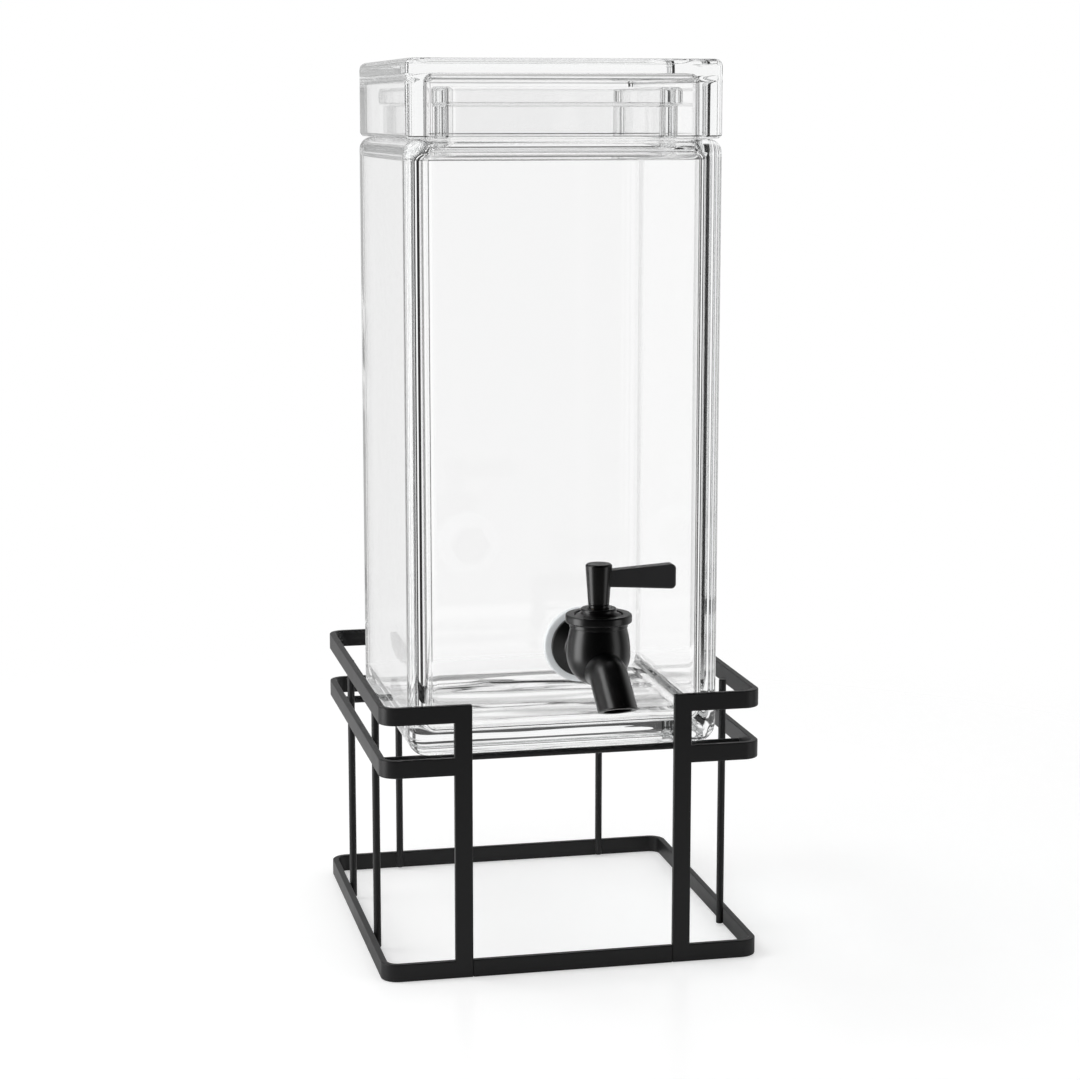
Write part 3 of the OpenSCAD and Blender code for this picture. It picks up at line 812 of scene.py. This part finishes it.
class DISPENSER_OT_jar(bpy.types.Operator):
    """Builds the square jar with its stepped neck and the hole for the tap"""

    bl_idname = "dispenser.jar"
    bl_label = "Jar"

    def execute(self, context):
        made = context.scene.dispenser_glass
        low, rim, half = JAR_LOW[2], JAR_HIGH[2], JAR_HIGH[0]
        shoulder = rim - made.neck_height
        neck = half - made.neck_inset
        bead, bead_low = neck + made.rim_out, rim - made.rim_height
        bead_corner = made.neck_corner + made.rim_out
        mouth, mouth_corner = neck - made.neck_wall, 0.004
        inner = half - made.jar_wall
        floor, roof = low + made.jar_base, shoulder - made.shoulder_wall
        neck_foot_edge, bead_root_edge, bead_edge = 0.0015, 0.0010, 0.0016
        rim_edge, mouth_edge = 0.0024, 0.0030
        body = square_vessel([
            (0, low, 0, 0),
            (half, low, made.jar_foot, made.jar_corner),
            (half, shoulder, made.shoulder_edge, made.jar_corner),
            (neck, shoulder, neck_foot_edge, made.neck_corner),
            (neck, bead_low, bead_root_edge, made.neck_corner),
            (bead, bead_low, bead_edge, bead_corner),
            (bead, rim, rim_edge, bead_corner),
            (mouth, rim, rim_edge, mouth_corner),
            (mouth, roof, mouth_edge, mouth_corner),
            (inner, roof, made.roof_edge, made.jar_inner),
            (inner, floor, made.floor_edge, made.jar_inner),
            (0, floor, 0, 0),
        ])
        place = Matrix.Translation((TAP_AXIS.x, -half, TAP_AXIS.z)) @ ALONG_INLET
        radius, deep = made.tap_hole / 2, 0.012
        drill = lathe([(0, -deep), (radius, -deep), (radius, deep), (0, deep)], place)
        mesh = combined(body, drill, "DIFFERENCE")
        settle("square_jar", mesh, pressed_glass(), "vessel", "clear_glass", "glass_jar")
        return {"FINISHED"}


class DISPENSER_OT_lid(bpy.types.Operator):
    """Builds the hollow square lid that covers the neck"""

    bl_idname = "dispenser.lid"
    bl_label = "Lid"

    def execute(self, context):
        made = context.scene.dispenser_glass
        low, top, half = LID_LOW[2], LID_HIGH[2], LID_HIGH[0]
        inner, ceiling = half - made.lid_wall, top - made.lid_top
        inner_foot_edge = 0.0014
        mesh = square_vessel([
            (0, top, 0, 0),
            (half, top, made.lid_edge, made.lid_corner),
            (half, low, made.lid_foot, made.lid_corner),
            (inner, low, inner_foot_edge, made.lid_inner),
            (inner, ceiling, made.lid_inner, made.lid_inner),
            (0, ceiling, 0, 0),
        ])
        settle("square_lid", mesh, pressed_glass(), "lid", "clear_glass", "glass_lid")
        return {"FINISHED"}


# Tap


class DISPENSER_OT_washers(bpy.types.Operator):
    """Builds the clear silicone washers outside and inside the jar"""

    bl_idname = "dispenser.washers"
    bl_label = "Washers"

    def execute(self, context):
        bore, edge = context.scene.dispenser_tap.shank + RUN_GAP, 0.0009
        for node in ("outer_washer", "inner_washer"):
            low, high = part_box(node)
            radius, thick = (high[0] - low[0]) / 2, high[1] - low[1]
            place = Matrix.Translation((TAP_AXIS.x, low[1], TAP_AXIS.z)) @ ALONG_INLET
            profile = rounded_line([
                (bore, 0, FINE_EDGE), (radius, 0, edge), (radius, thick, edge), (bore, thick, FINE_EDGE)
            ], steps=5, closed=True)
            mesh = lathe(profile, place, steps=FINE_STEPS, closed=True)
            settle("silicone_" + node, mesh, silicone(), "vessel", "clear_silicone", node)
        return {"FINISHED"}


class DISPENSER_OT_nut(bpy.types.Operator):
    """Builds the hexagon nut inside the jar"""

    bl_idname = "dispenser.nut"
    bl_label = "Lock Nut"

    def execute(self, context):
        bore, bevel = context.scene.dispenser_tap.shank + RUN_GAP, 0.0006
        low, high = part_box("lock_nut")
        thick = high[1] - low[1]
        flat = (high[2] - low[2]) / 2
        face, corner_slope = flat * 0.97, 0.5
        place = Matrix.Translation((TAP_AXIS.x, low[1], TAP_AXIS.z)) @ ALONG_INLET

        def circle(radius, up):
            """A round row."""
            return [place @ point for point in round_ring(radius, up, FINE_STEPS)]

        def hexagon(up, inward):
            """A six-sided row whose corners are bevelled towards the nut's middle."""
            row = []
            for point in round_ring(1, 0, FINE_STEPS):
                angle = math.atan2(point.y, point.x)
                reach = flat / math.cos(math.remainder(angle - math.radians(30), math.radians(60)))
                drop = inward * (reach - face) * corner_slope
                row.append(place @ Vector((reach * point.x, reach * point.y, up + drop)))
            return row

        rows = [
            circle(bore, bevel), circle(bore + bevel, 0), circle(face, 0), hexagon(0, 1),
            hexagon(thick, -1), circle(face, thick), circle(bore + bevel, thick), circle(bore, thick - bevel),
        ]
        settle("hexagon_nut", skin(rows, closed=True), tap_black(), "vessel", "tap_black", "lock_nut")
        return {"FINISHED"}


def belly_mesh(made):
    """Round belly of the tap with the ring under its bonnet."""
    bowl_steps, flank_steps = 24, 10
    top = made.belly_up + made.belly_tall
    slope = made.belly - made.belly_top
    flank = (made.belly_tall ** 2 + slope ** 2) / (2 * slope)
    profile = []
    for i in range(bowl_steps + 1):
        angle = math.pi / 2 * i / bowl_steps
        profile.append((made.belly * math.sin(angle), made.belly_up - made.belly * math.cos(angle)))
    for i in range(1, flank_steps + 1):
        up = made.belly_tall * i / flank_steps
        profile.append((made.belly - flank + math.sqrt(flank ** 2 - up ** 2), made.belly_up + up))
    rise = top + made.seat_tall
    ring = rounded_line([
        (made.belly_top, top, 0), (made.seat, top, FINE_EDGE), (made.seat, rise, FINE_EDGE), (0, rise, 0)
    ], steps=3)
    return lathe(profile + [tuple(spot) for spot in ring[1:]], Matrix.Translation(TAP_AXIS), steps=FINE_STEPS)


def tail_mesh(made, face):
    """Throat, cone and flange behind the belly."""
    cone_edge, front_edge, back_edge = 0.003, 0.0008, 0.0004
    front = face - made.flange_thick
    profile = rounded_line([
        (0, 0, 0), (made.throat, 0, 0), (made.throat, front - made.cone, cone_edge),
        (made.flange, front, front_edge), (made.flange, face, back_edge), (0, face, 0),
    ], steps=8)
    return lathe(profile, Matrix.Translation(TAP_AXIS) @ ALONG_INLET, steps=FINE_STEPS)


def spout_mesh(made):
    """Spout that leaves the belly level, bends down and has an open mouth."""
    turn = math.pi / 2 - made.spout_lean
    straight = made.spout_level + made.spout_bend * turn
    long = straight + made.spout_long
    slant = math.tan(made.spout_lean - made.mouth_tilt)
    root, bore_end = 0.004, straight + 0.001
    outer_end, lip_start, bore_start, lip = long - 0.003, long - 0.002, long - 0.004, 0.0007

    def spine(along):
        """Place on the spout's middle line and the angle there below level."""
        angle = min(max((along - made.spout_level) / made.spout_bend, 0), turn)
        level, rest = min(along, made.spout_level), max(along - straight, 0)
        ahead = level + made.spout_bend * math.sin(angle) + rest * math.cos(turn)
        drop = made.spout_drop + made.spout_bend * (1 - math.cos(angle)) + rest * math.sin(turn)
        return TAP_AXIS + Vector((0, -ahead, -drop)), angle

    def outer(along):
        """Radius of the spout's outside."""
        return made.spout + (made.mouth - made.spout) * along / long

    def spread(first, last, count):
        """Even places from the first to the last."""
        return [first + (last - first) * i / count for i in range(count + 1)]

    sides = spread(made.spout_level, straight, 8) + spread(straight, outer_end, 4)[1:]
    edge = rounded_line([
        (outer(long), lip_start, 0), (outer(long), long, lip), (made.mouth_bore, long, SOFT_EDGE),
        (made.mouth_bore, lip_start, 0),
    ], steps=5)
    profile = [(0, root), (outer(root), root)]
    profile += [(outer(along), along) for along in sides]
    profile += [tuple(spot) for spot in edge]
    profile += [(made.mouth_bore, along) for along in spread(bore_start, bore_end, 4)] + [(0, bore_end)]
    rows = []
    for radius, along in profile:
        share = min(max((along - straight) / made.spout_long, 0), 1)
        row = []
        for point in round_ring(radius, 0, ROUND_STEPS):
            spot, angle = spine(along - point.y * slant * share)
            under = Vector((0, math.sin(angle), -math.cos(angle)))
            row.append(spot + Vector((point.x, 0, 0)) + under * point.y)
        rows.append(row)
    return skin(rows)


def thread_rows(made, face, end):
    """Rows of the threaded shank from the flange to its open end."""
    steps, rows_each_turn = 64, 8
    depth, fade_long, mouth_bevel, bore_deep = 0.0006, 0.001, 0.0004, 0.02
    start = face - 0.001
    count = int((end - face) / made.thread * rows_each_turn)
    rows = []
    for i in range(count + 1):
        along = start + (end - start) * i / count
        fade = min(1, (end - along) / fade_long)
        row = []
        for k in range(steps):
            angle = 2 * math.pi * k / steps
            wave = 0.5 + 0.5 * math.cos(2 * math.pi * along / made.thread - angle)
            radius = made.shank - depth + depth * wave * fade
            row.append(Vector((radius * math.cos(angle), radius * math.sin(angle), along)))
        rows.append(row)
    bore = made.bore
    for radius, back in ((bore + mouth_bevel, 0), (bore, mouth_bevel), (bore, bore_deep), (0, bore_deep)):
        rows.append(round_ring(radius, end - back, steps))
    return rows


class DISPENSER_OT_tap_body(bpy.types.Operator):
    """Builds the tap's belly, cone, flange, threaded shank and spout"""

    bl_idname = "dispenser.tap_body"
    bl_label = "Tap Body"

    def execute(self, context):
        made = context.scene.dispenser_tap
        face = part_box("outer_washer")[0][1] - TAP_AXIS.y
        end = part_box("tap_body")[1][1] - TAP_AXIS.y
        mesh = combined(belly_mesh(made), tail_mesh(made, face), "UNION")
        mesh = combined(mesh, spout_mesh(made), "UNION")
        bm = bmesh.new()
        bm.from_mesh(mesh)
        place = Matrix.Translation(TAP_AXIS) @ ALONG_INLET
        skin_rows(bm, [[place @ point for point in row] for row in thread_rows(made, face, end)])
        bm.to_mesh(mesh)
        bm.free()
        settle("cast_tap", mesh, tap_black(), "vessel", "tap_black", "tap_body")
        return {"FINISHED"}


class DISPENSER_OT_bonnet(bpy.types.Operator):
    """Builds the round bonnet with its hollow top, and the collar round the stem"""

    bl_idname = "dispenser.bonnet"
    bl_label = "Bonnet and Collar"

    def execute(self, context):
        made = context.scene.dispenser_tap
        place = Matrix.Translation((TAP_AXIS.x, TAP_AXIS.y, 0))
        low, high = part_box("bonnet")
        radius, top = (high[0] - low[0]) / 2, high[2]
        under = TAP_AXIS.z + made.belly_up + made.belly_tall + made.seat_tall
        deep, recess_edge = top - made.recess_deep, 0.0006
        profile = rounded_line([
            (made.stem, under, 0), (radius, under, made.bonnet_edge), (radius, top, made.bonnet_edge),
            (made.recess, top, recess_edge), (made.recess, deep, SOFT_EDGE), (made.stem, deep, 0),
        ], steps=6)
        mesh = lathe(profile, place, steps=FINE_STEPS, closed=True)
        settle("round_bonnet", mesh, tap_black(), "vessel", "tap_black", "bonnet")
        low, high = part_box("gland_collar")
        bottom, top, foot = low[2], high[2], (high[0] - low[0]) / 2
        bevel, waist, waist_curve = made.collar_bevel, made.collar - 0.0004, 0.002
        foot_top, groove_low, groove_high = bottom + 0.0008, top - 0.0012, top - 0.0010
        profile = rounded_line([
            (made.stem, bottom, 0), (foot, bottom, CRISP_EDGE), (foot, foot_top, FINE_EDGE),
            (waist, (bottom + top) / 2, waist_curve), (waist, groove_low, 0),
            (made.collar, groove_high, 0), (made.collar, top - bevel, CRISP_EDGE),
            (made.collar - bevel, top, CRISP_EDGE), (made.stem, top, 0),
        ], steps=EDGE_STEPS)
        mesh = lathe(profile, place, closed=True)
        settle("stem_collar", mesh, tap_black(), "vessel", "tap_black", "gland_collar")
        return {"FINISHED"}


def hub_mesh(made):
    """Slightly flared hub on a low step."""
    low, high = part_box("handle_hub")
    foot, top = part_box("gland_collar")[1][2] + RUN_GAP / 2, high[2]
    radius, step_top = (high[1] - low[1]) / 2, low[2] + made.hub_step_tall
    bevel, flank_edge = made.hub_bevel, 0.0006
    profile = rounded_line([
        (0, foot, 0), (made.hub_step, foot, CRISP_EDGE), (made.hub_step, step_top, FINE_EDGE),
        (made.hub_low, step_top, FINE_EDGE), (radius, top - bevel, flank_edge),
        (radius - bevel, top, SOFT_EDGE), (0, top, 0),
    ], steps=EDGE_STEPS)
    return lathe(profile, Matrix.Translation((TAP_AXIS.x, TAP_AXIS.y, 0)))


def lever_mesh(made):
    """Flat lever that grows taller towards its free end, with bevelled edges."""
    low, high = (Vector(corner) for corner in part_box("lever"))
    hub_low, hub_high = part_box("handle_hub")
    hub, root, end = (hub_high[1] - hub_low[1]) / 2, made.hub_step / 2, high.x - TAP_AXIS.x
    thick, tall, middle = (high.y - low.y) / 2, (high.z - low.z) / 2, (high.z + low.z) / 2
    bevel, hub_curve, least_corner = made.lever_bevel, 0.002, 0.0008
    across = rounded_line([(0, -thick, 0), (bevel, -thick, bevel), (bevel, 0, 0)], steps=EDGE_STEPS)[1:-1]
    ends = [(bevel - spot.x, spot.y) for spot in across]
    rows = []
    for inset, y in ends + [(inset, -y) for inset, y in reversed(ends)]:
        thin, tip, wide = made.lever_root / 2 - inset, end - inset, tall - inset
        corner = max(made.lever_corner - inset, least_corner)
        line = rounded_line([
            (root, -thin, 0), (hub, -thin, hub_curve), (tip, -wide, corner),
            (tip, wide, corner), (hub, thin, hub_curve), (root, thin, 0),
        ], steps=6)
        rows.append([(TAP_AXIS.x + spot.x, TAP_AXIS.y + y, middle + spot.y) for spot in line])
    return skin(rows, caps=True)


def grub_screw_mesh():
    """Small headless screw with a round socket."""
    low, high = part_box("hub_set_screw")
    radius, long = (high[0] - low[0]) / 2, high[1] - low[1]
    key, key_edge, key_deep = radius * 0.5, 0.0001, long * 0.5
    profile = rounded_line([
        (0, 0, 0), (radius, 0, CRISP_EDGE), (radius, long, CRISP_EDGE),
        (key, long, key_edge), (key, key_deep, 0), (0, key_deep, 0),
    ], steps=3)
    place = Matrix.Translation((TAP_AXIS.x, low[1], (low[2] + high[2]) / 2)) @ ALONG_INLET
    return lathe(profile, place, steps=24)


class DISPENSER_OT_handle(bpy.types.Operator):
    """Builds the turning hub, its lever and its set screw"""

    bl_idname = "dispenser.handle"
    bl_label = "Handle"

    def execute(self, context):
        made = context.scene.dispenser_tap
        steel = coated("screw_steel", made.screw, roughness=0.35, grain=0.0003, bump=0.000003, metallic=1.0)
        settle("lever_hub", hub_mesh(made), tap_black(), "tap_handle", "tap_black", "handle_hub")
        # The lever takes the greyer painted-sheen copy of the tap's black.
        settle("side_lever", lever_mesh(made), painted_sheen_lever_black(), "tap_handle", "tap_black", "lever")
        settle("grub_screw", grub_screw_mesh(), steel, "tap_handle", "screw_steel", "hub_set_screw")
        return {"FINISHED"}


class DISPENSER_OT_plug(bpy.types.Operator):
    """Gives the turned brass plug and its rubber rings their finish"""

    bl_idname = "dispenser.plug"
    bl_label = "Plug and Rings"

    def execute(self, context):
        made = context.scene.dispenser_tap
        brass = coated(
            "turned_brass", made.brass, roughness=0.28, grain=0.0003, bump=0.000004, metallic=1.0, drift=0.1
        )
        rubber = coated("seal_rubber", made.rubber, roughness=0.6, grain=0.0003, bump=0.00001)
        for node, material in (("valve_plug", brass), ("plug_rings", rubber)):
            piece = frame["nodes"][node]
            piece.data.materials.clear()
            piece.data.materials.append(material)
        return {"FINISHED"}


PIECES = (
    DISPENSER_OT_stage, DISPENSER_OT_rails, DISPENSER_OT_posts, DISPENSER_OT_rods, DISPENSER_OT_jar,
    DISPENSER_OT_lid, DISPENSER_OT_washers, DISPENSER_OT_nut, DISPENSER_OT_tap_body, DISPENSER_OT_bonnet,
    DISPENSER_OT_handle, DISPENSER_OT_plug,
)


class DISPENSER_PT_panel(bpy.types.Panel):
    """Lists the pieces of the dispenser"""

    bl_idname = "DISPENSER_PT_panel"
    bl_label = "Glass Drink Dispenser"
    bl_space_type = "VIEW_3D"
    bl_region_type = "UI"
    bl_category = "Dispenser"

    def draw(self, context):
        for piece in PIECES:
            self.layout.operator(piece.bl_idname)


SETTINGS = {
    "dispenser_stage": StageSettings,
    "dispenser_glass": GlassSettings,
    "dispenser_stand": StandSettings,
    "dispenser_tap": TapSettings,
}


def register():
    """Makes the settings, operators and panel known to Blender."""
    for kind in (*SETTINGS.values(), *PIECES, DISPENSER_PT_panel):
        bpy.utils.register_class(kind)
    for name, kind in SETTINGS.items():
        setattr(bpy.types.Scene, name, PointerProperty(type=kind))


def unregister():
    """Takes them away again."""
    for name in SETTINGS:
        delattr(bpy.types.Scene, name)
    for kind in (DISPENSER_PT_panel, *reversed(PIECES), *SETTINGS.values()):
        bpy.utils.unregister_class(kind)


def main():
    """Builds every piece."""
    register()
    for piece in PIECES:
        group, name = piece.bl_idname.split(".")
        getattr(getattr(bpy.ops, group), name)()


if __name__ == "__main__":
    main()
